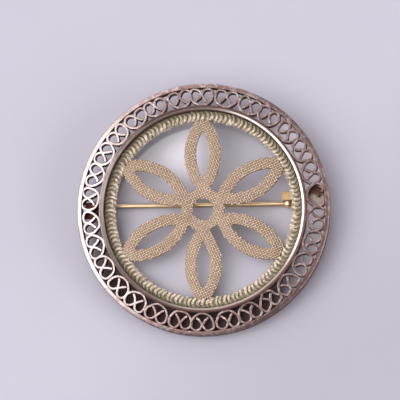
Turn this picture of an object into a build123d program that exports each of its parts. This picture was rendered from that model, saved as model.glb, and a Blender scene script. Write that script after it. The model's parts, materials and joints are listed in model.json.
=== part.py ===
from build123d import *
import math
import os

# A round openwork brooch that lies face up, leaning on its back fittings and its lower rim.

# Outer hoop
outer_diameter = 40.0
hoop_wall = 0.7
hoop_height = 2.2
hoop_round = 0.22

# Band of scrolls between the hoop and the collar
scroll_count = 30
band_width = 2.9
scroll_wire = 0.32
scroll_height = 1.9
scroll_setback = 0.15
solder_bite = 0.04
tail_gap = 0.15

# Collar
collar_height = 3.2
collar_shoulder = 0.15
collar_bevel = 0.55
collar_drop = 0.25
collar_round = 0.12
ledge_width = 1.15
ledge_height = 0.55

# Milled rim
seat_gap = 0.05
rim_width = 1.4
rim_height = 1.3
rib_count = 132
rib_depth = 0.3
lip_width = 0.2
lip_height = 0.4

# Openwork plate
plate_thickness = 0.7
bar_width = 1.8
petal_count = 6
petal_half_width = 2.9
petal_base = 2.2
petal_overrun = 1.1
eyelet_hole = 3.4
eyelet_wall = 1.7

# Pin
pin_offset = 1.0
pin_depth = 1.3
stem_diameter = 0.76
stem_root_diameter = 0.6
stem_root_end = 12.0
stem_taper_start = 1.0
stem_neck_diameter = 0.66
point_length = 2.6
point_diameter = 0.1
tip_setback = 0.8
eye_diameter = 1.44

# Hinge
hinge_x = 13.3
rivet_diameter = 0.6
rivet_fit = 0.02
eye_fit = 0.05
side_play = 0.07
rivet_head_diameter = 1.0
rivet_head_height = 0.2
lug_width = 1.25
lug_diameter = 1.8
fitting_thickness = 0.4
pad_diameter = 3.2
pad_setback = 0.8

# Catch
catch_setback = 1.0
catch_length = 3.0
catch_width = 2.6
hook_length = 1.8
hook_wall = 0.33
hook_reach = 0.8
hook_turn = 120.0

# Radii worked out from the outside in
hoop_outer = outer_diameter / 2
hoop_inner = hoop_outer - hoop_wall
collar_outer = hoop_inner - band_width
collar_crest = collar_outer - collar_shoulder
collar_bore = collar_crest - collar_bevel
rim_outer = collar_bore - seat_gap
rim_inner = rim_outer - rim_width
plate_radius = rim_inner - seat_gap
rim_top = ledge_height + rim_height
plate_bottom = ledge_height + lip_height

# The lug's near corner, the hook and the lower rim all touch the surface the brooch lies on
lug_start = pin_offset + stem_diameter / 2 + side_play
lug_drop = pin_depth + lug_diameter / 2
lean = math.atan2(lug_drop, hoop_outer + lug_start)
rise = hoop_outer * math.sin(lean)
rounded_off = hoop_round * (math.cos(lean) + math.sin(lean) - 1)
centre_shift = (hoop_height * math.sin(lean) - rounded_off) / 2

# Planes of the brooch: its back, a section through its axis, and a section across the pin
back = Plane(
    origin=(0, centre_shift, rise),
    x_dir=(1, 0, 0),
    z_dir=(0, -math.sin(lean), math.cos(lean)),
)
section = Plane(origin=back.origin, x_dir=back.x_dir, z_dir=-back.y_dir)
across = Plane(origin=back.origin, x_dir=back.y_dir, z_dir=back.x_dir)
brooch_axis = Axis(back.origin, back.z_dir)


def bent_strip(center, radius, start, sweep):
    """The face of a strip of scroll wire bent to an arc, seen along its height."""
    with BuildSketch() as strip:
        with BuildLine():
            outer = CenterArc(center, radius + scroll_wire / 2, start, sweep)
            inner = CenterArc(center, radius - scroll_wire / 2, start, sweep)
            Line(outer @ 0, inner @ 0)
            Line(outer @ 1, inner @ 1)
        make_face()
    return strip.sketch


def straight_strip(start, end):
    """The face of a straight strip of scroll wire, seen along its height."""
    side = (end - start).normalized().rotate(Axis.Z, 90) * (scroll_wire / 2)
    with BuildSketch() as strip:
        with BuildLine():
            Polyline(start + side, end + side, end - side, start - side, close=True)
        make_face()
    return strip.sketch


def scroll_unit():
    """An arch that touches the collar, and its two ends curled back along the hoop.

    Each end goes round its own curl, crosses the other end, and then follows the other curl.
    """
    quarter_pitch = 90.0 / scroll_count
    slant = math.sin(math.radians(quarter_pitch))
    curl_reach = hoop_inner / (1 + slant)
    curl_radius = curl_reach * slant + solder_bite - scroll_wire / 2
    curl_x = curl_reach * math.cos(math.radians(quarter_pitch))
    curl_y = curl_reach * slant
    arch_foot = collar_outer - solder_bite + scroll_wire / 2
    depth = curl_x - arch_foot
    arch_radius = (curl_y**2 + depth**2 - curl_radius**2) / (2 * (depth - curl_radius))
    arch_center = Vector(arch_foot + arch_radius, 0)
    curl_offset = arch_radius - curl_radius
    meeting = math.degrees(math.atan2(curl_y, curl_x - arch_center.X))
    leaving = math.degrees(math.asin(curl_radius / curl_y))
    tail_reach = arch_radius - scroll_wire - tail_gap
    opening = (tail_reach**2 - curl_radius**2 - curl_offset**2) / (2 * curl_radius * curl_offset)
    tail_sweep = 180 - meeting + leaving - math.degrees(math.acos(opening))
    with BuildSketch() as unit:
        add(bent_strip(arch_center, arch_radius, meeting, 360 - 2 * meeting))
        for side in (1, -1):
            own = Vector(curl_x, side * curl_y)
            other = Vector(curl_x, -side * curl_y)
            way_out = Vector(curl_radius, 0).rotate(Axis.Z, -side * leaving)
            add(bent_strip(own, curl_radius, side * meeting, -side * (meeting + leaving)))
            add(straight_strip(own + way_out, other - way_out))
            add(bent_strip(other, curl_radius, 180 - side * leaving, side * tail_sweep))
    return unit.sketch


def petal():
    """An open pointed petal along +X, from the centre to past the plate's edge."""
    tip = plate_radius + petal_overrun
    middle = (petal_base + tip) / 2
    with BuildSketch() as outline:
        with BuildLine():
            ThreePointArc((petal_base, 0), (middle, petal_half_width), (tip, 0))
            ThreePointArc((tip, 0), (middle, -petal_half_width), (petal_base, 0))
        make_face()
        offset(amount=-bar_width, kind=Kind.INTERSECTION, mode=Mode.SUBTRACT)
    return outline.sketch


one_scroll = scroll_unit()
one_petal = petal()

# Silver frame: hoop, scrolls and collar soldered into one
with BuildPart() as silver_frame:
    with BuildSketch(back.offset(scroll_setback)):
        with PolarLocations(0, scroll_count, start_angle=180 / scroll_count):
            add(one_scroll)
    extrude(amount=scroll_height)
    with BuildSketch(section):
        with BuildLine():
            Polyline(
                (hoop_inner, 0),
                (hoop_outer, 0),
                (hoop_outer, hoop_height),
                (hoop_inner, hoop_height),
                close=True,
            )
        hoop_face = make_face()
        fillet(hoop_face.vertices().group_by(Axis.Y)[-1], hoop_round)
    revolve(axis=brooch_axis)
    with BuildSketch(section):
        with BuildLine():
            Polyline(
                (collar_outer, 0),
                (collar_outer, collar_height - collar_drop),
                (collar_crest, collar_height),
                (collar_bore, collar_height - collar_drop),
                (collar_bore, ledge_height),
                (collar_bore - ledge_width, ledge_height),
                (collar_bore - ledge_width, 0),
                close=True,
            )
        collar_face = make_face()
        fillet(collar_face.vertices().group_by(Axis.Y)[-1], collar_round)
    revolve(axis=brooch_axis)

# Milled rim: a ring with a lip inside and V grooves across its top
groove_side = rib_depth * math.sqrt(2)
groove_length = 2 * rim_width
with BuildPart(back.offset(rim_top)) as milled_rim:
    with BuildSketch(section):
        with BuildLine():
            Polyline(
                (rim_inner - lip_width, ledge_height),
                (rim_outer, ledge_height),
                (rim_outer, rim_top),
                (rim_inner, rim_top),
                (rim_inner, plate_bottom),
                (rim_inner - lip_width, plate_bottom),
                close=True,
            )
        make_face()
    revolve(axis=brooch_axis)
    with PolarLocations((rim_outer + rim_inner) / 2, rib_count):
        Box(
            groove_length,
            groove_side,
            groove_side,
            rotation=(45, 0, 0),
            mode=Mode.SUBTRACT,
        )

# Openwork plate: petals round an eyelet, trimmed to the milled rim
with BuildPart() as openwork_plate:
    with BuildSketch(back.offset(plate_bottom)):
        with PolarLocations(0, petal_count, start_angle=90):
            add(one_petal)
        Circle(eyelet_hole / 2 + eyelet_wall)
        Circle(eyelet_hole / 2, mode=Mode.SUBTRACT)
        Circle(plate_radius, mode=Mode.INTERSECT)
    extrude(amount=plate_thickness)

# Hinge plate: a round pad and tongue on the back, with a lug that hangs from the tongue
hinge_axis = Axis(back.from_local_coords((hinge_x, 0, -pin_depth)), back.y_dir)
lug_middle = lug_start + lug_width / 2
pad_x = hoop_outer - pad_setback - pad_diameter / 2
with BuildPart() as hinge_plate:
    with BuildSketch(back):
        with Locations((pad_x, lug_middle)):
            Circle(pad_diameter / 2)
        with Locations(((hinge_x - lug_diameter / 2 + pad_x) / 2, lug_middle)):
            Rectangle(pad_x - hinge_x + lug_diameter / 2, lug_width)
    extrude(amount=-fitting_thickness)
    with BuildSketch(section.offset(-lug_start)):
        with Locations((hinge_x, -pin_depth)):
            Circle(lug_diameter / 2)
        with Locations((hinge_x, -pin_depth / 2)):
            Rectangle(lug_diameter, pin_depth)
        with Locations((hinge_x, -pin_depth)):
            Circle(rivet_diameter / 2 + rivet_fit, mode=Mode.SUBTRACT)
    extrude(amount=-lug_width)

# Hinge rivet: a shank with a head at each end
head_start = pin_offset - stem_diameter / 2 - side_play - rivet_head_height
lug_end = lug_start + lug_width
with BuildPart() as hinge_rivet:
    with BuildSketch(section.offset(-head_start)):
        with Locations((hinge_x, -pin_depth)):
            Circle(rivet_head_diameter / 2)
    extrude(amount=-rivet_head_height)
    with BuildSketch(section.offset(-head_start)):
        with Locations((hinge_x, -pin_depth)):
            Circle(rivet_diameter / 2)
    extrude(amount=-(lug_end - head_start))
    with BuildSketch(section.offset(-lug_end)):
        with Locations((hinge_x, -pin_depth)):
            Circle(rivet_head_diameter / 2)
    extrude(amount=-rivet_head_height)

# Pin: an eye on the rivet and a stem that tapers to a point behind the catch
tip_x = -(hoop_outer - tip_setback)
eye_hole = rivet_diameter / 2 + eye_fit
stem_start = hinge_x - (eye_hole + eye_diameter / 2) / 2
pin_section = section.offset(-pin_offset)
stem_axis = Axis(back.from_local_coords((0, pin_offset, -pin_depth)), back.x_dir)
with BuildPart() as pin:
    with BuildSketch(pin_section.offset(stem_diameter / 2)):
        with Locations((hinge_x, -pin_depth)):
            Circle(eye_diameter / 2)
            Circle(eye_hole, mode=Mode.SUBTRACT)
    extrude(amount=-stem_diameter)
    with BuildSketch(pin_section):
        with BuildLine():
            Polyline(
                (stem_start, -pin_depth),
                (stem_start, -pin_depth + stem_root_diameter / 2),
                (stem_root_end, -pin_depth + stem_diameter / 2),
                (stem_taper_start, -pin_depth + stem_diameter / 2),
                (tip_x + point_length, -pin_depth + stem_neck_diameter / 2),
                (tip_x, -pin_depth + point_diameter / 2),
                (tip_x, -pin_depth),
                close=True,
            )
        make_face()
    revolve(axis=stem_axis)

# Catch: a base on the back and a hook that opens beside the pin
catch_x = -(hoop_outer - catch_setback - catch_length / 2)
hook_y = pin_offset - hook_reach
hook_radius = (hoop_outer + hook_y) * math.sin(lean) - pin_depth * math.cos(lean)
hook_middle = hook_radius - hook_wall / 2
with BuildPart() as catch:
    with BuildSketch(back):
        with Locations((catch_x, hook_y)):
            Rectangle(catch_length, catch_width)
    extrude(amount=-fitting_thickness)
    with BuildSketch(across.offset(catch_x - hook_length / 2)):
        with BuildLine():
            outer_turn = CenterArc((hook_y, -pin_depth), hook_radius, 180, hook_turn)
            inner_turn = CenterArc((hook_y, -pin_depth), hook_radius - hook_wall, 180, hook_turn)
            Line(outer_turn @ 1, inner_turn @ 1)
            Line(outer_turn @ 0, (hook_y - hook_radius, 0))
            Line((hook_y - hook_radius, 0), (hook_y - hook_radius + hook_wall, 0))
            Line((hook_y - hook_radius + hook_wall, 0), inner_turn @ 0)
        make_face()
    extrude(amount=hook_length)

silver_frame.part.label = "silver_frame"
milled_rim.part.label = "milled_rim"
openwork_plate.part.label = "openwork_plate"
hinge_plate.part.label = "hinge_plate"
hinge_rivet.part.label = "hinge_rivet"
pin.part.label = "pin"
catch.part.label = "catch"

os.makedirs("parts", exist_ok=True)
export_step(silver_frame.part, "parts/silver_frame.step")
export_step(milled_rim.part, "parts/milled_rim.step")
export_step(openwork_plate.part, "parts/openwork_plate.step")
export_step(hinge_plate.part, "parts/hinge_plate.step")
export_step(hinge_rivet.part, "parts/hinge_rivet.step")
export_step(pin.part, "parts/pin.step")
export_step(catch.part, "parts/catch.step")
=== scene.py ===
# %% [markdown]
# A round openwork brooch, piece by piece
#
# The packed model already holds every piece at its real size. This lesson gives the pieces their
# surfaces: drawn silver wire, a milled gilt rim, a matted plate and a brass pin. We start by
# loading that model, and keep its box so that we can see later that nothing grew.

# %% Load the model and keep its box
import bpy
import bmesh
import json
import math
from mathutils import Matrix, Vector


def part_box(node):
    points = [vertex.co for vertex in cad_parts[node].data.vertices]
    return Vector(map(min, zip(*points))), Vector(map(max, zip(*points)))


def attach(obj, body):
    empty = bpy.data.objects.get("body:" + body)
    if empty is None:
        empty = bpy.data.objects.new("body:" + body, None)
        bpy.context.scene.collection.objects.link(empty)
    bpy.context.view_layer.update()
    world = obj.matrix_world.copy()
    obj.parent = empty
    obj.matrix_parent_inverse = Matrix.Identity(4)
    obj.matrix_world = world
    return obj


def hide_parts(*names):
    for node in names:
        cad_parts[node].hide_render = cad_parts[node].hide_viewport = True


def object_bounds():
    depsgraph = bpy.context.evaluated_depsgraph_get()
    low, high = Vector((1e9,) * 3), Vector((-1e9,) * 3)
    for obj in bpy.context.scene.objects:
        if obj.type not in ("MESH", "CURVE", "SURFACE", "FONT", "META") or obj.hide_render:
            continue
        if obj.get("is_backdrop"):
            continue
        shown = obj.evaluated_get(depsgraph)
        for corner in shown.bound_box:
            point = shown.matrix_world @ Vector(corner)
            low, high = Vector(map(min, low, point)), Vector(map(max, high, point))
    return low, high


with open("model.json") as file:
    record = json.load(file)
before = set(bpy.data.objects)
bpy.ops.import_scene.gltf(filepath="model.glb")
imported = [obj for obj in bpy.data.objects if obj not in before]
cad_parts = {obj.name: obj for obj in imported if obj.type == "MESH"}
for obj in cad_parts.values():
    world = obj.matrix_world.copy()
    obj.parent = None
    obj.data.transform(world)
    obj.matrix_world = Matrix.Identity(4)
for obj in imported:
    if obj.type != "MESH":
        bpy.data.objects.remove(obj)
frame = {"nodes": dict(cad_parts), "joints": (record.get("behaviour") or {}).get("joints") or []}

model_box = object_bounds()
print("nodes:", ", ".join(sorted(frame["nodes"])))

# %% [markdown]
# The brooch lies face up and leans on its hinge, its hook and its lower rim. Every shape below is
# drawn in the brooch's own plane, in millimetres, with the back of the hoop at height 0. One
# matrix then lays it on the table. The hinge tells us that matrix: its axis leans as the brooch
# does, and it passes through the pin's eye.

# %% The brooch's own plane
MM = 0.001
swing = frame["joints"][0]
lean = math.atan2(-swing["axis"][2], -swing["axis"][1])
hinge_x = 13.3
pin_offset = 1.0
pin_depth = 1.3
turn = Matrix.Rotation(lean, 4, "X")
origin = Vector(swing["pos_m"]) - turn @ (Vector((hinge_x, pin_offset, -pin_depth)) * MM)
to_table = Matrix.Translation(origin) @ turn @ Matrix.Scale(MM, 4)
print("lean of the brooch:", round(math.degrees(lean), 2), "degrees")

# %% [markdown]
# The sizes of the pieces, in millimetres. The outer radius is read from the model, and the other
# radii follow from it, from the outside in, as a maker would fit one ring into the next.

# %% Sizes
low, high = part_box("silver_frame")
hoop_outer = (high[0] - low[0]) / 2 / MM
hoop_wall = 0.7
hoop_height = 2.2
hoop_inner = hoop_outer - hoop_wall
band_width = 2.9
collar_outer = hoop_inner - band_width
collar_height = 3.2
collar_shoulder = 0.15
collar_bevel = 0.55
collar_crest = collar_outer - collar_shoulder
collar_bore = collar_crest - collar_bevel
collar_drop = 0.25
ledge_height = 0.55
ledge_width = 1.15
ring_gap = 0.05
rim_width = 1.4
rim_height = 1.3
rim_outer = collar_bore - ring_gap
rim_inner = rim_outer - rim_width
rim_top = ledge_height + rim_height
lip_height = 0.4
plate_thickness = 0.7
plate_bottom = ledge_height + lip_height
plate_top = plate_bottom + plate_thickness
print("hoop radius", round(hoop_outer, 2), "collar", round(collar_outer, 2), "rim", round(rim_inner, 2))

# %% [markdown]
# Shader sums are easier to read as sums. A `Strand` wraps one socket, and adding or multiplying
# strands adds the Math nodes. The reflected forms are there too, so that `1 - mask` works.

# %% Sums on sockets
class Strand:
    """One output socket, so that masks add and multiply like numbers."""

    def __init__(self, bench, socket):
        self.bench = bench
        self.socket = socket

    def __add__(self, other):
        return self.bench.math("ADD", self, other)

    def __radd__(self, other):
        return self.bench.math("ADD", other, self)

    def __sub__(self, other):
        return self.bench.math("SUBTRACT", self, other)

    def __rsub__(self, other):
        return self.bench.math("SUBTRACT", other, self)

    def __mul__(self, other):
        return self.bench.math("MULTIPLY", self, other)

    def __rmul__(self, other):
        return self.bench.math("MULTIPLY", other, self)

    def __truediv__(self, other):
        return self.bench.math("DIVIDE", self, other)

    def clamp(self):
        return self.bench.math("ADD", self, 0.0, clamp=True)


print("sums ready")

# %% [markdown]
# A `Bench` holds one node tree, of a material or of Geometry Nodes. Its `node` method makes any
# node from its type, its settings and the values or links of its sockets, in that order, because
# a setting can change which sockets there are. The other methods are the few steps that come up
# again and again.

# %% A bench for one node tree
class Bench:
    """One node tree and a short way to put nodes into it."""

    def __init__(self, tree):
        self.tree = tree

    def node(self, kind, settings=None, values=None, out=0):
        made = self.tree.nodes.new(kind)
        for name, setting in (settings or {}).items():
            setattr(made, name, setting)
        for key, value in (values or {}).items():
            if isinstance(value, Strand):
                self.tree.links.new(value.socket, made.inputs[key])
            else:
                made.inputs[key].default_value = value
        return Strand(self, made.outputs[out]) if made.outputs else made

    def math(self, operation, first, second=0.0, clamp=False):
        settings = {"operation": operation, "use_clamp": clamp}
        return self.node("ShaderNodeMath", settings, {0: first, 1: second})

    def step(self, value, start, end):
        """0 below start, 1 above end, and smooth between."""
        settings = {"interpolation_type": "SMOOTHSTEP"}
        return self.node("ShaderNodeMapRange", settings, {"Value": value, 1: start, 2: end})

    def blend(self, share, first, second):
        """A colour between two colours."""
        first, second = (c if isinstance(c, Strand) else (*c, 1.0) for c in (first, second))
        return self.node("ShaderNodeMix", {"data_type": "RGBA"}, {0: share, 6: first, 7: second}, 2)

    def grain(self, place, scale, detail=2.0, rough=0.5, out=0):
        """Fine noise, as a value, or as a colour with out=1."""
        values = {"Vector": place, "Scale": scale, "Detail": detail, "Roughness": rough}
        return self.node("ShaderNodeTexNoise", {}, values, out)

    def part(self, vector, axis):
        """One part of a vector: 0 for X, 1 for Y, 2 for Z."""
        return self.node("ShaderNodeSeparateXYZ", {}, {0: vector}, axis)

    def vector(self, x=0.0, y=0.0, z=0.0):
        return self.node("ShaderNodeCombineXYZ", {}, {0: x, 1: y, 2: z})

    def vector_math(self, operation, first, second, out=0):
        """Vector sums: out=1 for those that give a number."""
        return self.node("ShaderNodeVectorMath", {"operation": operation}, {0: first, 1: second}, out)

    def length(self, vector):
        return self.node("ShaderNodeVectorMath", {"operation": "LENGTH"}, {0: vector}, 1)

    def chance(self, seed, low, high):
        """A random number for each element, the same on every run."""
        values = {2: low, 3: high, "Seed": seed}
        return self.node("FunctionNodeRandomValue", {"data_type": "FLOAT"}, values, 1)


print("a bench knows:", ", ".join(name for name in vars(Bench) if not name.startswith("_")))

# %% [markdown]
# Every finish needs to know where it is on the brooch: how high above the back, how far from the
# middle and in which direction. The Mapping node undoes the lean, so that all patterns are given
# in millimetres in the brooch's own plane, whatever piece they are on. A side of the brooch is
# given as a direction in degrees, 0 for right and 90 for up, and the two distances from the
# middle between which something begins.

# %% Start a finish
def cleared(owner):
    """A material or world whose node tree is empty."""
    owner.use_nodes = True
    owner.node_tree.nodes.clear()
    return owner


class Finish(Bench):
    """A material's bench that knows the place, height and slope on the brooch."""

    def __init__(self, name):
        self.material = cleared(bpy.data.materials.new(name))
        super().__init__(self.material.node_tree)
        coordinates = self.node("ShaderNodeTexCoord", {}, {}, 3)
        lay = {"Location": origin, "Rotation": (lean, 0, 0), "Scale": (MM, MM, MM)}
        lay["Vector"] = coordinates
        self.place = self.node("ShaderNodeMapping", {"vector_type": "TEXTURE"}, lay)
        self.height = self.part(self.place, 2)
        normal = self.node("ShaderNodeTexCoord", {}, {}, 1)
        upright = tuple(turn.to_3x3() @ Vector((0, 0, 1)))
        self.facing_up = self.vector_math("DOT_PRODUCT", normal, upright, 1)

    def on_side(self, side, wander=0.0):
        """0 before the side begins and 1 past it, with a wander of the boundary."""
        degrees, start, end = side
        bearing = math.radians(degrees)
        across = self.part(self.place, 0) * math.cos(bearing)
        ahead = self.part(self.place, 1) * math.sin(bearing)
        return self.step(across + ahead + wander, start, end)

    def metal(self, colour, roughness, metallic, bump, depth):
        """Ends the material: a metal with a bump of the given depth in millimetres."""
        raised = {"Height": bump, "Strength": 1.0, "Distance": depth * MM}
        normal = self.node("ShaderNodeBump", {}, raised)
        values = {"Base Color": colour, "Roughness": roughness, "Metallic": metallic}
        surface = self.node("ShaderNodeBsdfPrincipled", {}, {**values, "Normal": normal})
        self.node("ShaderNodeOutputMaterial", {}, {"Surface": surface})
        return self.material


print("finishes measure from", [round(value / MM, 2) for value in origin], "mm")

# %% [markdown]
# Old silver is never one colour. The parts that cloth and fingers rub stay pale and pinkish, and
# the flanks and hollows go brown, with painted shade deepening the hollows. These are the colours
# that the finish mixes, from the hollows between the scrolls to the brightest line of the collar,
# which is a painted highlight.

# %% Colours of old silver
# Patina and painted shade, for the deepest hollows.
hollow_tarnish_and_shade = (0.08, 0.032, 0.024)
brown_silver = (0.20, 0.105, 0.09)
warm_silver = (0.34, 0.24, 0.22)
dull_silver = (0.31, 0.21, 0.195)
# A painted highlight, for the lit left side.
painted_lit_silver = (0.72, 0.62, 0.585)
stained_silver = (0.25, 0.13, 0.115)
glinting_silver = (0.70, 0.60, 0.57)
# Painted shade, on the hoop's lower right and the collar's outer shoulder.
painted_shade_silver = (0.13, 0.07, 0.06)
speck_brown = (0.12, 0.07, 0.06)
file_mark_brown = (0.12, 0.09, 0.08)
# The collar's inner slope away from its painted highlight.
plain_slope = (0.38, 0.31, 0.28)
# The painted highlight on the collar's inner slope.
painted_highlight_slope = (1.0, 0.92, 0.89)
# Painted shade at the foot of the collar's inner slope, beside the rim.
shaded_slope_foot = (0.26, 0.23, 0.16)
# The sides are painted light and shade: a painted highlight on the left side, painted shade on the
# hoop's lower right, and a painted highlight on the collar's inner slope at the right.
painted_lit_side = (180, 6.0, 18.0)
shaded_side = (-30, 13.0, 19.0)
highlight_side = (23.5, 8.0, 12.0)
# This prints the side that carries the painted highlight.
print("the silver was handled most towards", painted_lit_side[0], "degrees")

# %% [markdown]
# The finish mixes them by the slope of the surface, its height above the back, a slow stain and
# fine specks. Light and shade are painted in at four places. The left side carries a painted
# highlight and is nearly white. The hoop's lower right is painted shade, and so is the collar's
# outer shoulder away from the left. The collar's slope towards the rim carries a painted
# highlight at the right only, with painted shade at its foot. Nothing here looks at the light: a
# pale place is pale from all sides.

# %% Silver finish
def silver_finish(name, top, depth, lines=0.0, shoulder=0.0):
    """Tarnished silver, rubbed pale near the height top, and dark from depth below it with tarnish and
    painted shade.
    """
    silver = Finish(name)
    fine = silver.grain(silver.place, 3.0, 5.0, 0.65)
    slow = silver.grain(silver.place, 0.22, 2.0, 0.5)
    speck = silver.grain(silver.place, 8.0, 3.0, 0.7)
    patch = silver.grain(silver.place, 0.45, 3.0, 0.6)
    glint = silver.grain(silver.place, 1.3, 4.0, 0.7)
    reach = silver.length(silver.place)
    along = silver.vector(reach * 9.0, slow * 3.0, silver.height * 4.0)
    file_mark = silver.grain(along, 1.0, 2.0, 0.6)
    nearness = silver.step(silver.height, top - depth, top)
    rubbed = silver.step(silver.facing_up + nearness * 0.5 + fine * 0.3, 0.95, 1.35)
    warm = silver.blend(fine, brown_silver, warm_silver)
    # The flanks darken with depth: tarnish and painted shade together.
    flank = silver.blend(nearness, hollow_tarnish_and_shade, warm)
    # A painted highlight on the left side, where the lamp's light falls.
    painted_lit = silver.on_side(painted_lit_side, (slow - 0.5) * 14)
    bright = silver.blend(painted_lit, dull_silver, painted_lit_silver)
    bright = silver.blend(silver.step(patch, 0.48, 0.62) * 0.45, bright, stained_silver)
    bright = silver.blend(silver.step(glint, 0.5, 0.6) * 0.55, bright, glinting_silver)
    on_hoop = silver.step(reach, hoop_inner - 0.1, hoop_inner + 0.1)
    # Painted shade on the hoop's lower right.
    bright = silver.blend(silver.on_side(shaded_side) * on_hoop * 0.6, bright, painted_shade_silver)
    bright = silver.blend(silver.step(speck, 0.5, 0.75) * 0.8, bright, speck_brown)
    bright = silver.blend(silver.step(file_mark, 0.5, 0.7) * lines, bright, file_mark_brown)
    past_crest = silver.step(reach, collar_crest - 0.02, collar_crest + 0.1)
    # Painted shade on the collar's outer shoulder, except on the lit left side.
    bright = silver.blend(past_crest * (1 - painted_lit) * shoulder, bright, painted_shade_silver)
    # A painted highlight on the collar's inner slope at the right.
    slope = silver.blend(silver.on_side(highlight_side, (slow - 0.5) * 4), plain_slope, painted_highlight_slope)
    # Painted shade at the slope's foot, beside the rim.
    shade_by_rim = silver.step(reach, collar_bore + 0.14, collar_bore + 0.04)
    slope = silver.blend(shade_by_rim, slope, shaded_slope_foot)
    on_slope = (1 - past_crest) * shoulder * silver.step(fine, 0.2, 0.42)
    bright = silver.blend(on_slope, bright, slope)
    colour = silver.blend(rubbed, flank, bright)
    roughness = 0.46 + fine * 0.2 - rubbed * 0.16
    metallic = 0.75 + rubbed * 0.25
    bump = fine * 0.5 + speck * 0.35 + file_mark * lines * 0.5
    return silver.metal(colour, roughness, metallic, bump, 0.05)


hoop_finish = silver_finish("hoop_silver", hoop_height, 1.2)
scroll_finish = silver_finish("scroll_silver", hoop_height, 1.3)
collar_finish = silver_finish("collar_silver", collar_height, 2.4, lines=0.5, shoulder=0.95)
print("silver finishes:", hoop_finish.name, scroll_finish.name, collar_finish.name)

# %% [markdown]
# Gilding is thin. On the milled rim it has worn to a pale straw colour on the ribs, with painted
# highlights as beads along their inner ends and painted shade, darker and a little greener, towards
# the collar, with brown and green dirt between them. The plate is a warmer beige gold, with painted
# shade between the punched grains.

# %% Gilt finishes
rim_dirt = (0.34, 0.24, 0.15)
rim_green = (0.29, 0.27, 0.16)
straw_gilt = (0.88, 0.74, 0.60)
# Painted shade on the ribs below the collar.
straw_in_collar_shade = (0.52, 0.46, 0.33)
green_straw = (0.58, 0.53, 0.38)
rim_spot = (0.34, 0.26, 0.17)
# Painted shade in the ground between the grains, in two tones.
ground_shadow = (0.22, 0.14, 0.08)
ground_gilt_in_shade = (0.34, 0.24, 0.16)
beige_gold = (0.71, 0.57, 0.43)
pale_gold = (0.75, 0.60, 0.51)
brown_gold = (0.50, 0.36, 0.24)


def rim_finish():
    gilt = Finish("milled_gilt")
    reach = gilt.length(gilt.place)
    fine = gilt.grain(gilt.place, 2.2, 4.0, 0.6)
    slow = gilt.grain(gilt.place, 0.4, 2.0, 0.5)
    spots = gilt.step(gilt.grain(gilt.place, 2.6, 4.0, 0.75), 0.5, 0.6)
    crest = gilt.step(gilt.height + fine * 0.2 - 0.1, rim_top - 0.22, rim_top - 0.02)
    inner = 1 - gilt.step(reach, rim_inner + 0.15, rim_inner + 0.5)
    # Painted shade from the collar on the ribs' outer ends.
    outward = gilt.step(reach, rim_inner + 0.45, rim_outer - 0.3)
    straw = gilt.blend(outward, straw_gilt, straw_in_collar_shade)
    straw = gilt.blend(gilt.step(slow, 0.45, 0.62) * 0.5, straw, green_straw)
    # The crests' straw colour, with painted highlights as beads along the inner edge.
    lit = (crest + inner * gilt.step(fine, 0.3, 0.6)).clamp()
    colour = gilt.blend(lit, gilt.blend(slow, rim_dirt, rim_green), straw)
    colour = gilt.blend(spots * 0.6, colour, rim_spot)
    return gilt.metal(colour, 0.48 + fine * 0.25, 0.1 + crest * 0.3, fine + spots * 0.4, 0.16)


def plate_finish():
    gilt = Finish("matted_gilt")
    fine = gilt.grain(gilt.place, 4.0, 3.0, 0.6)
    slow = gilt.grain(gilt.place, 0.3, 2.0, 0.5)
    raised = gilt.step(gilt.height, plate_top, plate_top + 0.07)
    gold = gilt.blend(slow, beige_gold, pale_gold)
    gold = gilt.blend(gilt.step(fine, 0.45, 0.65) * 0.5, gold, brown_gold)
    # The ground between the grains is painted shade.
    colour = gilt.blend(raised, gilt.blend(fine, ground_shadow, ground_gilt_in_shade), gold)
    return gilt.metal(colour, 0.36 + fine * 0.2, 0.4 + raised * 0.35, fine, 0.03)


milled_gilt = rim_finish()
matted_gilt = plate_finish()
print("gilt finishes:", milled_gilt.name, matted_gilt.name)

# %% [markdown]
# The fittings are brass. The pin is polished along its length by cloth, with painted shade at its
# sides and beside the hinge. The hook and the upper part of the hinge's pad are red-brown painted
# shade, the hinge's tongue and lug are dull gold, and a beige patch of painted light on the pad's
# lower, upward-facing part is what shows up through the band.

# %% Brass finishes
yellow_brass = (0.84, 0.58, 0.31)
pale_brass = (0.97, 0.79, 0.52)
pin_speck = (0.30, 0.16, 0.06)
# Painted shade on the pin's sides.
pin_flank_shade = (0.42, 0.22, 0.08)
# Painted shade on the pin beside the hinge.
pin_shade_by_hinge = (0.42, 0.26, 0.11)
# Painted shade: red-brown for the hook and the pad's upper part.
fitting_shade_brown = (0.30, 0.12, 0.075)
lug_gold = (0.58, 0.38, 0.17)
# Painted light on the pad's lower part.
pad_lit_beige = (1.0, 0.86, 0.74)
fitting_speck = (0.24, 0.09, 0.05)
# Where the painted shade beside the hinge begins.
hinge_shade_side = (0, 12.9, 13.7)
lug_side = (0, -1.0, 1.0)
pad_side = (0, 16.2, 16.6)
# Where the pad's painted light ends.
lit_patch_end = (-90, -2.5, -1.7)


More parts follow.
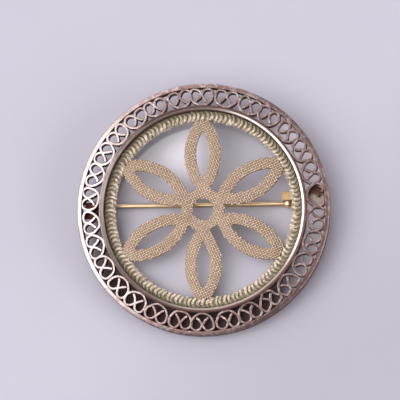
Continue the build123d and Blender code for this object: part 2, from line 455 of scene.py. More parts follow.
def pin_finish():
    brass = Finish("drawn_brass")
    along = brass.node("ShaderNodeMapping", {}, {"Vector": brass.place, "Scale": (0.25, 3.0, 3.0)})
    streak = brass.grain(along, 1.6, 4.0, 0.6)
    fine = brass.grain(brass.place, 6.0, 3.0, 0.6)
    colour = brass.blend(streak, yellow_brass, pale_brass)
    colour = brass.blend(brass.step(fine, 0.55, 0.75) * 0.6, colour, pin_speck)
    # Painted shade on the pin's sides, away from its upward face.
    colour = brass.blend(brass.step(brass.facing_up, 0.75, 0.35) * 0.8, colour, pin_flank_shade)
    # Painted shade on the pin beside the hinge.
    colour = brass.blend(brass.on_side(hinge_shade_side) * 0.7, colour, pin_shade_by_hinge)
    return brass.metal(colour, 0.26 + streak * 0.2, 0.9, streak, 0.03)


def fitting_finish():
    brass = Finish("dull_brass")
    fine = brass.grain(brass.place, 3.0, 5.0, 0.65)
    slow = brass.grain(brass.place, 0.9, 2.0, 0.5)
    pad = brass.on_side(pad_side)
    lug = brass.on_side(lug_side) * (1 - pad)
    # A patch of painted light on the pad's lower part, where it faces up.
    patch = brass.on_side(lit_patch_end, (slow - 0.5) * -3.0) * pad
    patch = patch * brass.step(brass.facing_up, 0.0, 0.5)
    # Red-brown painted shade on the hook and pad, dull gold on the lug.
    colour = brass.blend(lug, fitting_shade_brown, lug_gold)
    colour = brass.blend(patch, colour, pad_lit_beige)
    colour = brass.blend(brass.step(fine, 0.5, 0.72) * 0.6, colour, fitting_speck)
    return brass.metal(colour, 0.45 + fine * 0.3, 0.25, fine, 0.06)


drawn_brass = pin_finish()
dull_brass = fitting_finish()
print("brass finishes:", drawn_brass.name, dull_brass.name)

# %% [markdown]
# A finished piece keeps its object at the origin, so its place has to go into its mesh. This
# helper lays a mesh on the table with the one matrix, names it, gives it its finish, and lets it
# ride on the body that it belongs to.

# %% Set a piece in its place
def new_object(name, data):
    """An object that is linked to the scene."""
    made = bpy.data.objects.new(name, data)
    bpy.context.scene.collection.objects.link(made)
    return made


def set_piece(name, mesh, material, body, slot, *stands_for):
    mesh.transform(to_table)
    mesh.materials.clear()
    mesh.materials.append(material)
    piece = new_object(name, mesh)
    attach(piece, body)
    if stands_for:
        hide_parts(*stands_for)
    mesh.calc_loop_triangles()
    print(name, "has", len(mesh.loop_triangles), "triangles")


# %% [markdown]
# Every mesh that we draw ourselves ends the same way: its faces are turned outwards, and then it
# is shaded smooth, apart from edges that a maker would call sharp.

# %% Close and smooth a mesh
sharp_angle = math.radians(50)


def closed_mesh(name, sheet):
    """The sheet as a mesh, with all its faces turned outwards."""
    bmesh.ops.recalc_face_normals(sheet, faces=sheet.faces)
    mesh = bpy.data.meshes.new(name)
    sheet.to_mesh(mesh)
    sheet.free()
    return mesh


def smoothed(mesh):
    """Smooth faces, with a hard edge only where the surface turns sharply."""
    mesh.shade_smooth()
    mesh.set_sharp_from_angle(angle=sharp_angle)
    return mesh


print("an edge is sharp from", round(math.degrees(sharp_angle)), "degrees")

# %% [markdown]
# Rings are turned. A section is a list of corners, each with a radius, a height and how far the
# corner is rounded, and the ring is that section swept round the middle. Hand work is never quite
# true, so the section may drift a little in and out and up and down on the way round.

# %% Turn a ring
def rounded(corners, steps=4):
    """The section with each corner cut into a small arc."""
    points = []
    count = len(corners)
    for i, (x, z, size) in enumerate(corners):
        here = Vector((x, z))
        before = (Vector(corners[i - 1][:2]) - here).normalized()
        after = (Vector(corners[(i + 1) % count][:2]) - here).normalized()
        if size == 0:
            points.append(here)
            continue
        start, end = here + before * size, here + after * size
        for k in range(steps + 1):
            t = k / steps
            points.append(start * (1 - t) ** 2 + here * (2 * t * (1 - t)) + end * t**2)
    return points


def drift(angle, seed, waves=(2, 3, 5, 9, 17)):
    """A slow wander between about -1 and 1 that closes on itself."""
    total = 0.0
    for k, wave in enumerate(waves):
        total += math.sin(wave * angle + seed * 1.7 + k * 2.3) / (k + 1.5)
    return total / 1.3


def turned_ring(name, corners, steps, out=0.0, up=0.0, seed=0.0):
    """A closed ring from a section, with a wander of the given sizes."""
    section = rounded(corners)
    sheet = bmesh.new()
    loops = []
    for i in range(steps):
        angle = 2 * math.pi * i / steps
        wide = out * drift(angle, seed)
        tall = up * drift(angle, seed + 5)
        loop = []
        for point in section:
            radius = point.x + wide
            lift = tall * max(0.0, point.y) / hoop_height
            spot = (radius * math.cos(angle), radius * math.sin(angle), point.y + lift)
            loop.append(sheet.verts.new(spot))
        loops.append(loop)
    for i, loop in enumerate(loops):
        following = loops[(i + 1) % steps]
        for k in range(len(section)):
            far = (k + 1) % len(section)
            sheet.faces.new((loop[k], following[k], following[far], loop[far]))
    return smoothed(closed_mesh(name, sheet))


widest = max(drift(math.radians(angle), 1.0) for angle in range(360))
print("a ring drifts by up to", round(widest, 2), "of its own allowance")

# %% [markdown]
# The outer hoop is a strip of silver bent on edge and soldered into a ring. Its upper edge is
# rubbed round. The collar is a second, taller strip with a crest: a narrow shoulder outside it,
# and inside it a wider slope that falls towards the rim. At its foot is a ledge for the gilt rim
# to sit on.

# %% Hoop and collar
hoop_wear = 0.24
ring_steps = 480
hoop_section = [
    (hoop_inner, 0, 0.04),
    (hoop_outer, 0, 0),
    (hoop_outer, hoop_height - hoop_wear, 0.2),
    (hoop_inner, hoop_height, 0.12),
]
collar_section = [
    (collar_outer, 0, 0.03),
    (collar_outer, collar_height - collar_drop, 0.08),
    (collar_crest, collar_height, 0.1),
    (collar_bore, collar_height - collar_drop, 0.05),
    (collar_bore, ledge_height, 0.03),
    (collar_bore - ledge_width, ledge_height, 0.03),
    (collar_bore - ledge_width, 0, 0.03),
]
hoop_mesh = turned_ring("outer_hoop", hoop_section, ring_steps, up=-0.05, seed=1.0)
set_piece("outer_hoop", hoop_mesh, hoop_finish, "brooch", "tarnished_silver", "silver_frame")
collar_mesh = turned_ring("collar", collar_section, ring_steps, out=0.02, up=-0.06, seed=2.0)
set_piece("collar", collar_mesh, collar_finish, "brooch", "tarnished_silver", "silver_frame")

# %% [markdown]
# The band between them is thirty scrolls of flat wire. One scroll is an arch on the collar whose
# two ends curl back along the hoop. Each end goes round its own curl, crosses the other end, and
# then runs on nearly straight until it meets the arch. It is drawn once, as a line of a few arcs,
# and Geometry Nodes set thirty of them round the ring. An end dips a little on its way, so that
# two ends that cross don't share one face.

# %% Draw one scroll
scroll_count = 30
scroll_wire = 0.32
worn_wire = 0.36
scroll_height = 1.9
scroll_foot = 0.15
solder_bite = 0.04
tail_ease = 2.6
tail_sweep = 1.2
tail_steps = 24
tail_dip = 0.07
tail_gap = worn_wire * 0.8
arc_steps = 18


def bend(middle, radius, start, sweep, steps):
    """Points along an arc, its first point left out."""
    angles = [start + sweep * k / steps for k in range(1, steps + 1)]
    return [middle + Vector((math.cos(a), math.sin(a), 0)) * radius for a in angles]


def scroll_line():
    """The middle line of one scroll, pointing along +X."""
    quarter = math.radians(90 / scroll_count)
    reach = hoop_inner / (1 + math.sin(quarter))
    curl = reach * math.sin(quarter) + solder_bite - scroll_wire / 2
    own = Vector((reach * math.cos(quarter), reach * math.sin(quarter), 0))
    other = Vector((own.x, -own.y, 0))
    foot = collar_outer - solder_bite + scroll_wire / 2
    depth = own.x - foot
    arch = (own.y**2 + depth**2 - curl**2) / (2 * (depth - curl))
    center = Vector((foot + arch, 0, 0))
    meeting = math.atan2(own.y, own.x - center.x)
    leaving = math.asin(curl / own.y)
    upper = bend(own, curl, meeting, -(meeting + leaving), arc_steps)
    ease = tail_ease * curl
    onward = other + Vector((math.cos(leaving), -math.sin(leaving), 0)) * (ease - curl)
    tail = bend(onward, ease, math.pi - leaving, tail_sweep, tail_steps)
    tail = [spot for spot in tail if (spot - center).length < arch - tail_gap]
    for k, spot in enumerate(tail):
        spot.z = -tail_dip * (k + 1) / len(tail)
    upper += tail
    lower = [Vector((spot.x, -spot.y, 0)) for spot in reversed(upper)]
    middle = bend(center, arch, -meeting, 2 * (meeting - math.pi), arc_steps)
    return lower + middle + upper


scroll_points = scroll_line()
line_mesh = bpy.data.meshes.new("scroll_line")
line_edges = [(i, i + 1) for i in range(len(scroll_points) - 1)]
line_mesh.from_pydata(scroll_points, line_edges, [])
print("one scroll has", len(scroll_points), "points")

# %% [markdown]
# A Geometry Nodes tree is built in the script, with its sizes as named inputs. One helper makes
# the tree and its inputs, one ends it, and one runs it on a mesh and hands back a plain mesh,
# because a finished piece carries no modifier.

# %% Helpers for Geometry Nodes
def start_tree(name, **sizes):
    """A tree with a geometry in and out, and one named input for each size."""
    tree = bpy.data.node_groups.new(name, "GeometryNodeTree")
    tree.interface.new_socket("Geometry", in_out="INPUT", socket_type="NodeSocketGeometry")
    tree.interface.new_socket("Geometry", in_out="OUTPUT", socket_type="NodeSocketGeometry")
    for label, value in sizes.items():
        kind = "NodeSocketInt" if isinstance(value, int) else "NodeSocketFloat"
        tree.interface.new_socket(label, in_out="INPUT", socket_type=kind)
    entry = tree.nodes.new("NodeGroupInput")
    bench = Bench(tree)
    inputs = {socket.name: Strand(bench, socket) for socket in entry.outputs if socket.name}
    return tree, bench, inputs


def finish_tree(bench, geometry, material):
    """Realizes the instances, sets the material and ends the tree."""
    real = bench.node("GeometryNodeRealizeInstances", {}, {0: geometry})
    dressed = bench.node("GeometryNodeSetMaterial", {}, {"Geometry": real, "Material": material})
    end = bench.tree.nodes.new("NodeGroupOutput")
    bench.tree.links.new(dressed.socket, end.inputs[0])


def worked_out(name, carrier):
    """The carrier's mesh with its modifiers worked into it. The carrier goes."""
    graph = bpy.context.evaluated_depsgraph_get()
    result = bpy.data.meshes.new_from_object(carrier.evaluated_get(graph))
    result.name = name
    bpy.data.objects.remove(carrier)
    return result


def grown(name, mesh, tree, **sizes):
    """The mesh that the tree makes from this one, as plain data."""
    carrier = new_object(name + "_carrier", mesh)
    modifier = carrier.modifiers.new(name, "NODES")
    modifier.node_group = tree
    for socket in tree.interface.items_tree:
        if socket.in_out == "INPUT" and socket.name in sizes:
            modifier[socket.identifier] = sizes[socket.name]
    return worked_out(name, carrier)


print("tree helpers ready")

# %% [markdown]
# The band could be an array of one modelled scroll, but hand work is never that even. So the
# drawn line is set round the ring, each copy turned and nudged a little by chance, and the points
# of all lines then wander with a slow noise. At the lower right the real band was pushed over, so
# the wander is larger there. Over the hinge's pad one scroll has lost its two ends. Only points
# near the ends of a line may be deleted, because a hole in its middle would be closed with a
# straight piece. Last, a flat strip with rounded edges is swept along, and the band is lifted
# onto its foot, higher towards the collar.

# %% Grow the band of scrolls
def spot_on_band(degrees, radius):
    """A place in the brooch's plane, from a compass angle and a radius in millimetres."""
    return Matrix.Rotation(math.radians(degrees), 3, "Z") @ Vector((radius, 0, 0))


bruise = spot_on_band(-51, 18.0)
bruise_reach = 4.0
broken_out = spot_on_band(6, 17.85)
broken_reach = 2.2
level = (1.0, 1.0, 0.0)


def scroll_tree(material, **sizes):
    tree, bench, given = start_tree("scroll_band", **sizes)
    node, seed = bench.node, given["Seed"]
    line = node("GeometryNodeMeshToCurve", {}, {"Mesh": given["Geometry"]})
    points = node("GeometryNodePoints", {}, {"Count": given["Count"]})
    index = node("GeometryNodeInputIndex")
    angle = (index + 0.5) * (2 * math.pi) / given["Count"] + bench.chance(seed, -0.01, 0.01)
    values = {"Points": points, "Instance": line, "Rotation": bench.vector(z=angle)}
    placed = node("GeometryNodeInstanceOnPoints", {}, values)
    outward = bench.chance(seed + 1, -0.05, 0.04)
    sideways = bench.chance(seed + 2, -0.04, 0.04)
    lift = bench.chance(seed + 3, -0.05, 0.03)
    nudge = bench.vector(outward, sideways, lift)
    moved = {"Instances": placed, "Translation": nudge, "Local Space": True}
    placed = node("GeometryNodeTranslateInstances", {}, moved)
    lines = node("GeometryNodeRealizeInstances", {}, {0: placed})
    place = node("GeometryNodeInputPosition")
    wander = bench.vector_math("SUBTRACT", bench.grain(place, 0.6, 1.0, 0.5, 1), (0.5, 0.5, 0.5))
    wander = bench.vector_math("MULTIPLY", wander, level)
    bruised = 1 - bench.step(bench.vector_math("DISTANCE", place, bruise, 1), 1.0, bruise_reach)
    amount = {0: wander, "Scale": given["Unevenness"] * (1 + bruised * given["Bruise"])}
    wander = node("ShaderNodeVectorMath", {"operation": "SCALE"}, amount)
    lines = node("GeometryNodeSetPosition", {}, {"Geometry": lines, "Offset": wander})
    gap = bench.vector_math("DISTANCE", place, broken_out, 1)
    here = bench.math("LESS_THAN", gap, broken_reach)
    along = node("GeometryNodeSplineParameter") - 0.5
    lost = bench.math("GREATER_THAN", along * along, given["Kept"] * given["Kept"] * 0.25) * here
    lines = node("GeometryNodeDeleteGeometry", {"domain": "POINT"}, {0: lines, 1: lost})
    lines = node("GeometryNodeSetCurveNormal", {"mode": "Z_UP"}, {"Curve": lines})
    flat = {0: given["Wire"], 1: given["Height"]}
    strip = node("GeometryNodeCurvePrimitiveQuadrilateral", {}, flat)
    fillet = {"Curve": strip, "Count": 3, "Radius": given["Rounding"]}
    strip = node("GeometryNodeFilletCurve", {"mode": "POLY"}, fillet)
    sweep = {"Curve": lines, "Profile Curve": strip, "Fill Caps": True}
    band = node("GeometryNodeCurveToMesh", {}, sweep)
    reach = bench.length(bench.vector_math("MULTIPLY", place, level))
    slope = (hoop_inner - reach) * given["Slope"]
    raised = bench.vector(z=given["Foot"] + given["Height"] * 0.5 + slope)
    band = node("GeometryNodeSetPosition", {}, {"Geometry": band, "Offset": raised})
    finish_tree(bench, band, material)
    return tree


scroll_sizes = {
    "Count": scroll_count,
    "Seed": 7,
    "Wire": worn_wire,
    "Height": scroll_height,
    "Foot": scroll_foot,
    "Rounding": 0.07,
    "Unevenness": 0.5,
    "Bruise": 2.5,
    "Kept": 0.7,
    "Slope": 0.16,
}
scroll_growth = scroll_tree(scroll_finish, **scroll_sizes)
scroll_band = smoothed(grown("scroll_band", line_mesh, scroll_growth, **scroll_sizes))
set_piece("scroll_band", scroll_band, scroll_finish, "brooch", "tarnished_silver", "silver_frame")

# %% [markdown]
# The solder and the ribs both sit on circles. So one tree sets copies of a small mesh round a
# circle, and takes how many, at what radius and from which angle. A little chance in the place,
# the size and the turn of each copy keeps it from looking machined.

# %% Copies round a circle
def drop_mesh(name, length, width, height, rings=6, sides=8):
    """A long drop along X."""
    sheet = bmesh.new()
    bmesh.ops.create_uvsphere(sheet, u_segments=sides, v_segments=rings, radius=0.5)
    for vertex in sheet.verts:
        x, y, z = vertex.co
        vertex.co = (z * length, y * width, x * height)
    return closed_mesh(name, sheet)


def circle_tree(name, material, **sizes):
    """Instances round a circle, each pointing outwards, with a little chance in all of it."""
    tree, bench, given = start_tree(name, **sizes)
    node, seed = bench.node, given["Seed"]
    points = node("GeometryNodePoints", {}, {"Count": given["Count"]})
    index = node("GeometryNodeInputIndex")
    wobble = bench.chance(seed, -1.0, 1.0) * given["Wobble"]
    angle = (index + given["Start"]) * (2 * math.pi) / given["Count"] + wobble
    across = bench.math("COSINE", angle) * given["Reach"]
    along = bench.math("SINE", angle) * given["Reach"]
    spot = bench.vector(across, along, given["Ground"])
    points = node("GeometryNodeSetPosition", {}, {"Geometry": points, "Position": spot})
    grow = [1 + bench.chance(seed + k, -1.0, 1.0) * given["Growth"] for k in (1, 2, 3)]
    values = {"Points": points, "Instance": given["Geometry"]}
    values.update({"Rotation": bench.vector(z=angle), "Scale": bench.vector(*grow)})
    drops = node("GeometryNodeInstanceOnPoints", {}, values)
    skew = bench.vector(z=given["Skew"] + bench.chance(seed + 4, -1.0, 1.0) * given["Twist"])
    turned = {"Instances": drops, "Rotation": skew, "Local Space": True}
    drops = node("GeometryNodeRotateInstances", {}, turned)
    finish_tree(bench, drops, material)
    return tree


def circle_of(name, seed_mesh, material, **sizes):
    """A ring of copies of one small mesh."""
    tree = circle_tree(name, material, **sizes)
    ring = grown(name, seed_mesh, tree, **sizes)
    ring.shade_smooth()
    return ring


print("circle tree ready")

# %% [markdown]
# Wherever a scroll touches the hoop, the collar or its neighbour, a little solder has flowed into
# the corner. It fills the corner below the wire's edge, so it is a low drop.

# %% Solder in the corners
solder_height = 1.5
# The columns are the name, how many drops, their radius, the first angle, and a drop's size.
solder_rows = (
    ("hoop_solder", 2 * scroll_count, hoop_inner - 0.08, 0.5, 0.34, 0.9),
    ("collar_solder", scroll_count, collar_outer + 0.08, 0.5, 0.34, 1.1),
    ("joint_solder", 2 * scroll_count, hoop_inner - 0.98, 0.0, 0.62, 0.26),
)
for name, count, reach, start, length, width in solder_rows:
    drop = drop_mesh(name + "_drop", length, width, solder_height)
    sizes = {
        "Count": count,
        "Seed": 21,
        "Reach": reach,
        "Start": start,
        "Ground": scroll_foot + solder_height / 2,
        "Wobble": 0.004,
        "Growth": 0.25,
        "Skew": 0.0,
        "Twist": 0.2,
    }
    puddles = circle_of(name, drop, scroll_finish, **sizes)
    set_piece(name, puddles, scroll_finish, "brooch", "tarnished_silver", "silver_frame")

# %% [markdown]
# The milled rim is a plain turned ring with a row of ribs across its top. Each rib is a bar with
# a slight bow that runs over the inner edge and a little way down it, which gives the edge its
# beads; the rim's finish adds a painted highlight to them. The rib is drawn from stations along it,
# each with a place, a height and a swell.

# %% One rib of the milling
rib_count = 132
rib_depth = 0.3
rib_ground = rim_top - rib_depth
rim_middle = (rim_inner + rim_outer) / 2
rib_pitch = 2 * math.pi * rim_middle / rib_count
rib_half_width = rib_pitch * 0.44
rib_bow = 0.9
rib_bend = 0.3


def rib_stations():
    """From the collar's side to the lip: level, then down over the inner edge."""
    outer = rim_outer - rim_middle
    bend_start = rim_inner - rim_middle + rib_bend
    inner = bend_start - rib_bend
    path = [(outer - 0.02, -0.12, 0.35), (outer - 0.12, 0, 0.75), (0.3, 0, 0.85), (0.0, 0, 0.95)]
    path.append((bend_start, 0, 1.0))
    for k in (1, 2, 3):
        angle = math.radians(30 * k)
        drop = rib_bend * (1 - math.cos(angle))
        path.append((bend_start - rib_bend * math.sin(angle), -drop, 1.0))
    path.append((inner, -rib_bend - 0.25, 0.85))
    path.append((inner + 0.06, -rib_bend - 0.4, 0.3))
    return path


def lofted(name, sections):
    """A closed bar through a row of sections, each a list of corners, with both ends capped."""
    sheet = bmesh.new()
    loops = [[sheet.verts.new(corner) for corner in section] for section in sections]
    for first, second in zip(loops, loops[1:]):
        for k in range(len(first)):
            far = (k + 1) % len(first)
            sheet.faces.new((first[k], first[far], second[far], second[k]))
    sheet.faces.new(loops[0])
    sheet.faces.new(reversed(loops[-1]))
    return closed_mesh(name, sheet)


def rib_mesh(sides=8):
    """The rib along X, each section square to the path and moved sideways by the bow."""
    path = rib_stations()
    sections = []
    for i, (x, z, swell) in enumerate(path):
        before, after = path[max(0, i - 1)], path[min(len(path) - 1, i + 1)]
        along = Vector((after[0] - before[0], after[1] - before[1])).normalized()
        rise = Vector((-along.y, along.x)) * -1
        section = []
        for k in range(sides):
            angle = 2 * math.pi * k / sides
            up = math.sin(angle) * rib_depth * swell
            side = math.cos(angle) * rib_half_width * swell + rib_bow * (x * x - 0.2)
            section.append((x + rise.x * up, side, z + rise.y * up))
        sections.append(section)
    return lofted("rib", sections)


rib = rib_mesh()
print("one rib has", len(rib.polygons), "faces and is", round(2 * rib_half_width, 2), "mm wide")

# %% [markdown]
# The same tree that set the solder sets the ribs, only closer and more evenly. The ring under
# them has a lip at its foot, on which the plate lies.

# %% Milled rim
lip_width = 0.2
rim_steps = 360
rim_section = [
    (rim_inner - lip_width, ledge_height, 0.03),
    (rim_outer, ledge_height, 0.03),
    (rim_outer, rib_ground, 0.08),
    (rim_inner + 0.1, rib_ground, 0.15),
    (rim_inner + 0.1, plate_bottom, 0.03),
    (rim_inner - lip_width, plate_bottom, 0.03),
]
rib_sizes = {
    "Count": rib_count,
    "Seed": 3,
    "Reach": rim_middle,
    "Start": 0.0,
    "Ground": rib_ground,
    "Wobble": 0.005,
    "Growth": 0.16,
    "Skew": 0.1,
    "Twist": 0.16,
}
ribs = circle_of("rim_ribs", rib, milled_gilt, **rib_sizes)
rim_ring = turned_ring("rim_ring", rim_section, rim_steps)
set_piece("rim_ring", rim_ring, milled_gilt, "brooch", "gilt_milling", "milled_rim")
set_piece("rim_ribs", ribs, milled_gilt, "brooch", "gilt_milling", "milled_rim")

# %% [markdown]
# The pierced plate keeps the outline it has in the model, so we take a copy of that mesh back
# into the brooch's plane. Its faces are joined, its edges are broken with a small bevel, and then
# it is matted: rows of small raised grains, as a matting punch leaves them.

# %% Plate blank
weld_distance = 0.002
flat_angle = math.radians(3)
bevel_angle = math.radians(40)


def model_mesh(node):
    """A copy of a node's mesh in the brooch's own plane."""
    mesh = frame["nodes"][node].data.copy()
    mesh.transform(to_table.inverted() @ frame["nodes"][node].matrix_world)
    return mesh


def worn_copy(node, name, bevel):
    """A welded copy of a node's mesh in the brooch's plane, with its edges broken."""
    mesh = model_mesh(node)
    sheet = bmesh.new()
    sheet.from_mesh(mesh)
    bmesh.ops.remove_doubles(sheet, verts=sheet.verts, dist=weld_distance)
    bmesh.ops.dissolve_limit(sheet, angle_limit=flat_angle, verts=sheet.verts, edges=sheet.edges)
    sheet.to_mesh(mesh)
    sheet.free()
    carrier = new_object(name, mesh)
    edge = carrier.modifiers.new("edge", "BEVEL")
    edge.width = bevel
    edge.segments = 2
    edge.limit_method = "ANGLE"
    edge.angle_limit = bevel_angle
    return smoothed(worked_out(name, carrier))


plate_blank = worn_copy("openwork_plate", "plate_blank", 0.07)
print("plate blank has", len(plate_blank.polygons), "faces")

# %% [markdown]
# The grains are little bars, each turned square to its neighbours as in basket work. A square
# grid of points hangs over the plate, a ray goes down from each point, and where it lands on the
# plate's upper face a grain is set. Every second grain is turned by a quarter.

# %% Matting grains
grain_pitch = 0.36
grain_turn = math.radians(25)
grid_span = 30.0
grid_rows = round(grid_span / grain_pitch) + 1


def grain_tree(material, target, **sizes):
    tree, bench, given = start_tree("matting", **sizes)
    node, seed = bench.node, given["Seed"]
    grid = {"Size X": given["Span"], "Size Y": given["Span"]}
    grid.update({"Vertices X": given["Rows"], "Vertices Y": given["Rows"]})
    points = node("GeometryNodeMeshGrid", {}, grid)
    laid = {"Geometry": points, "Rotation": (0, 0, grain_turn)}
    points = node("GeometryNodeTransform", {}, laid)
    sideways = bench.chance(seed, -0.03, 0.03)
    onward = bench.chance(seed + 1, -0.03, 0.03)
    above = bench.vector(sideways, onward, given["Top"] + 1)
    points = node("GeometryNodeSetPosition", {}, {"Geometry": points, "Offset": above})
    plate = node("GeometryNodeObjectInfo", {}, {"Object": target}, 4)
    ray = {"Target Geometry": plate, "Ray Direction": (0, 0, -1), "Ray Length": 1.2}
    hit = node("GeometryNodeRaycast", {}, ray, 0)
    landed = node("GeometryNodeRaycast", {}, ray, 1)
    laid = {"Geometry": points, "Selection": hit, "Position": landed}
    points = node("GeometryNodeSetPosition", {}, laid)
    index = node("GeometryNodeInputIndex")
    row = bench.math("FLOOR", index / given["Rows"])
    column = index - row * given["Rows"]
    odd = bench.math("MODULO", row + column, 2.0)
    spin = odd * (math.pi / 2) + (grain_turn + math.pi / 4) + bench.chance(seed + 2, -0.25, 0.25)
    values = {"Points": points, "Selection": hit, "Instance": given["Geometry"]}
    values.update({"Rotation": bench.vector(z=spin), "Scale": bench.chance(seed + 3, 0.85, 1.15)})
    grains = node("GeometryNodeInstanceOnPoints", {}, values)
    finish_tree(bench, grains, material)
    return tree


target = new_object("plate_target", model_mesh("openwork_plate"))
grain = drop_mesh("grain", length=0.42, width=0.22, height=0.17, rings=4, sides=6)
grain_sizes = {"Seed": 11, "Top": plate_top, "Span": grid_span, "Rows": grid_rows}
matting = grain_tree(matted_gilt, target, **grain_sizes)
grains = grown("plate_grains", grain, matting, **grain_sizes)
grains.shade_smooth()
bpy.data.objects.remove(target)
set_piece("plate_blank", plate_blank, matted_gilt, "brooch", "gilt_plate", "openwork_plate")
set_piece("plate_grains", grains, matted_gilt, "brooch", "gilt_plate", "openwork_plate")

# %% [markdown]
# Behind the brooch sit the hinge, its rivet and the hook. They keep their shapes from the model,
# with broken edges and a dull brass finish.

# %% Fittings
broken_edges = {"hinge_plate": 0.08, "hinge_rivet": 0.06, "catch": 0.05}
for node, bevel in broken_edges.items():
    fitting = worn_copy(node, node + "_worn", bevel)
    set_piece(node + "_worn", fitting, dull_brass, "brooch", "brass", node)

# %% [markdown]
# The pin is drawn wire with an eye at one end. The stem is turned from a few stations of place
# and radius, round enough to carry a clean highlight, and the eye is a small ring across its end.
# It is the one piece that rides on the body `pin`, so it swings when the hinge does.

# %% Pin
stem_radius = 0.38
root_radius = 0.3
neck_radius = 0.33
eye_radius = 0.72
eye_hole = 0.35
tip_radius = 0.05
tip_steps = 5
tip_length = 2.6
tip_inset = 0.8
root_end = 12.0
taper_start = 1.0
tip_x = -(hoop_outer - tip_inset)


def turned_bar(name, stations, sides=32):
    """A closed bar along X from stations of place and radius."""
    angles = [2 * math.pi * k / sides for k in range(sides)]
    sections = [[(x, r * math.cos(a), r * math.sin(a)) for a in angles] for x, r in stations]
    return lofted(name, sections)


def pin_stations():
    """Even to the middle, then a long taper, then the point."""
    inner_end = hinge_x - (eye_hole + eye_radius) / 2
    stations = [(inner_end, root_radius), (root_end, stem_radius), (taper_start, stem_radius)]
    neck_x = tip_x + tip_length
    stations.append((neck_x, neck_radius))
    for k in range(1, tip_steps + 1):
        share = k / tip_steps
        radius = neck_radius * (1 - share**1.6) + tip_radius * share
        stations.append((neck_x - tip_length * share, radius))
    return stations


across = Matrix.Rotation(math.radians(90), 4, "X")
stem = turned_bar("stem", pin_stations())
stem.transform(Matrix.Translation((0, pin_offset, -pin_depth)))
eye_section = [
    (eye_hole, -stem_radius, 0.06),
    (eye_radius, -stem_radius, 0.16),
    (eye_radius, stem_radius, 0.16),
    (eye_hole, stem_radius, 0.06),
]
eye = turned_ring("eye", eye_section, 40)
eye.transform(Matrix.Translation((hinge_x, pin_offset, -pin_depth)) @ across)
both = bmesh.new()
both.from_mesh(stem)
both.from_mesh(eye)
pin_mesh = bpy.data.meshes.new("brass_pin")
both.to_mesh(pin_mesh)
both.free()
set_piece("brass_pin", smoothed(pin_mesh), drawn_brass, "pin", "brass_wire", "pin")

# %% [markdown]
# The table is a plain pale sheet, faintly cool. It is stage, not object, so it is only named as
# such and never rides on anything. Past a faint random tone, its unevenness is painted light and
# shade: a painted falloff of light to the lower right, painted light where it shows through the
# plate's upper left and below the scrolls at the right, and brown painted shade below the lower
# scrolls.

# %% Table
table_dark = (0.465, 0.442, 0.510)
table_light = (0.495, 0.470, 0.540)
# Painted falloff of light towards the lower right.
table_falloff_shade = (0.415, 0.388, 0.448)
# Painted light where the table shows through the plate.
table_lit_below_plate = (0.92, 0.88, 0.96)
# Painted light below the scrolls at the right.
table_lit_below_right = (0.90, 0.84, 0.92)
# Painted shade below the lower scrolls.
table_shade_below_scrolls = (0.20, 0.11, 0.085)
plate_edge = (14.5 * MM, 13.9 * MM)
band_start = (16.0 * MM, 16.6 * MM)
band_end = (19.7 * MM, 19.1 * MM)


def table_finish():
    material = cleared(bpy.data.materials.new("pale_table"))
    bench = Bench(material.node_tree)
    place = bench.node("ShaderNodeTexCoord", {}, {}, 3)
    across = bench.part(place, 0)
    ahead = bench.part(place, 1)
    reach = bench.length(place)
    colour = bench.blend(bench.grain(place, 60.0, 4.0, 0.6), table_dark, table_light)
    # Painted falloff of light towards the lower right.
    colour = bench.blend(bench.step(across - ahead, 0.0, 50 * MM), colour, table_falloff_shade)
    behind = bench.step(ahead, 1 * MM, 8 * MM) * bench.step(across, 4 * MM, -4 * MM)
    # Painted light where the table shows through the plate, most at its upper left.
    lit_below_plate = bench.step(reach, *plate_edge) * (0.2 + behind * 0.8)
    colour = bench.blend(lit_below_plate, colour, table_lit_below_plate)
    below_band = bench.step(reach, *band_start) * bench.step(reach, *band_end)
    right = bench.step(across, 10 * MM, 14 * MM)
    # Painted light below the scrolls at the right.
    colour = bench.blend(below_band * right, colour, table_lit_below_right)
    front = bench.step(ahead, -3 * MM, -11 * MM) * (1 - right)
    # Brown painted shade below the lower scrolls.
    colour = bench.blend(below_band * front * 0.8, colour, table_shade_below_scrolls)
    values = {"Base Color": colour, "Roughness": 0.75}
    surface = bench.node("ShaderNodeBsdfPrincipled", {}, values)
    bench.node("ShaderNodeOutputMaterial", {}, {"Surface": surface})
    return material


table_half = 0.6
table_mesh = bpy.data.meshes.new("table")
signs = ((-1, -1), (1, -1), (1, 1), (-1, 1))
table_mesh.from_pydata([(x * table_half, y * table_half, 0) for x, y in signs], [], [(0, 1, 2, 3)])
table_mesh.materials.append(table_finish())
new_object("table", table_mesh)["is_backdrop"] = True
print("table laid,", 2 * table_half, "m wide")

# %% [markdown]
# The photograph's light is soft. A large round lamp stands at the left like a window. The sky is
# dim apart from four soft patches: one overhead, a bright one at the left that makes the slopes
# facing it glow, and two low ones, behind and at the right, which reach the table below the
# brooch's raised side.

# %% Window
def toward(azimuth, elevation):
    """A direction from its compass angle and its height above the table."""
    bearing = math.radians(azimuth)
    height = math.radians(elevation)
    level = math.cos(height)
    return Vector((level * math.cos(bearing), level * math.sin(bearing), math.sin(height)))


window_width = 1.1
window_watts = 5.9
window_away = 0.9
window = bpy.data.lights.new("window", "AREA")
window.shape = "DISK"
window.size = window_width
window.energy = window_watts
window.color = (1.0, 0.985, 0.99)
stand = new_object("window", window)
stand.location = toward(200, 56) * window_away
stand.rotation_euler = (-stand.location).to_track_quat("-Z", "Y").to_euler()
print("the window is", window_width, "m across and", window_away, "m away")

# %% [markdown]
# The sky is a material too. Each patch is 1 in its core and fades out towards its edge, both
# given as angles from the patch's middle.

# %% Sky
world = cleared(bpy.data.worlds.new("tent"))
tent = Bench(world.node_tree)
direction = tent.node("ShaderNodeTexCoord", {}, {}, 0)


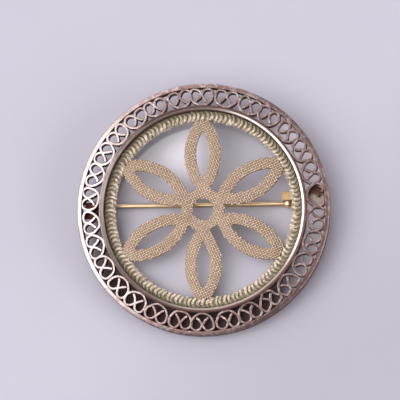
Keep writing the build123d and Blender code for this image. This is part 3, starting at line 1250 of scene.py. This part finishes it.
def bright_patch(azimuth, elevation, core, edge):
    """How much a soft round patch of sky covers the direction: 1 in its core, 0 past its edge."""
    nearness = tent.vector_math("DOT_PRODUCT", direction, tuple(toward(azimuth, elevation)), 1)
    return tent.step(nearness, math.cos(math.radians(edge)), math.cos(math.radians(core)))


dim_sky = 0.17
sky = dim_sky + bright_patch(90, 76, core=16, edge=32) * 0.9
sky = sky + bright_patch(172, 42, core=14, edge=30) * 2.2
sky = sky + bright_patch(110, 13, core=12, edge=40) * 2.5
sky = sky + bright_patch(-12, 13, core=12, edge=36) * 4.2
glow = tent.node("ShaderNodeBackground", {}, {"Color": (1.0, 0.985, 1.02, 1.0), "Strength": sky})
tent.node("ShaderNodeOutputWorld", {}, {"Surface": glow})
bpy.context.scene.world = world
bpy.context.scene.view_settings.view_transform = "Standard"
print("sky hung in", world.name)

# %% [markdown]
# The camera looks down on the face, a little from below and from the right of it, and is rolled
# until the pin runs level across the picture. All of it follows from one angle off the brooch's
# axis, the direction of that angle, and how many pixels wide the brooch is.

# %% Camera
off_axis = math.radians(8.5)
towards = math.radians(-50)
distance = 350.0
picture = 400
brooch_pixels = 253.4
middle_pixel = (203.3, 209.6)
roll = math.radians(-0.9)
sensor = 36.0

aside = Vector((math.cos(towards), math.sin(towards), 0)) * math.sin(off_axis)
look = turn.to_3x3() @ (aside + Vector((0, 0, math.cos(off_axis))))
along_pin = Matrix.Rotation(roll, 3, look) @ Vector((1, 0, 0))
right = (along_pin - look * along_pin.dot(look)).normalized()
up = look.cross(right)
target_point = to_table @ Vector((0, 0, hoop_height / 2))
mm_per_pixel = 2 * hoop_outer / brooch_pixels
lens = bpy.data.cameras.new("camera")
lens.sensor_width = sensor
lens.lens = sensor * distance / (picture * mm_per_pixel)
lens.shift_x = (picture / 2 - middle_pixel[0]) / picture
lens.shift_y = (middle_pixel[1] - picture / 2) / picture
lens.clip_start = 0.01
camera = new_object("camera", lens)
axes = Matrix((right, up, look)).transposed().to_4x4()
camera.matrix_world = Matrix.Translation(target_point + look * distance * MM) @ axes
bpy.context.scene.camera = camera
print("camera elevation:", round(math.degrees(math.asin(look.z)), 1), "degrees")

# %% [markdown] Last, both boxes are written down side by side.

# %% Sizes and finish
dressed_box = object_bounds()
for name, box in (("model", model_box), ("dressed", dressed_box)):
    print(name, "box in mm:", [[round(value / MM, 2) for value in corner] for corner in box])
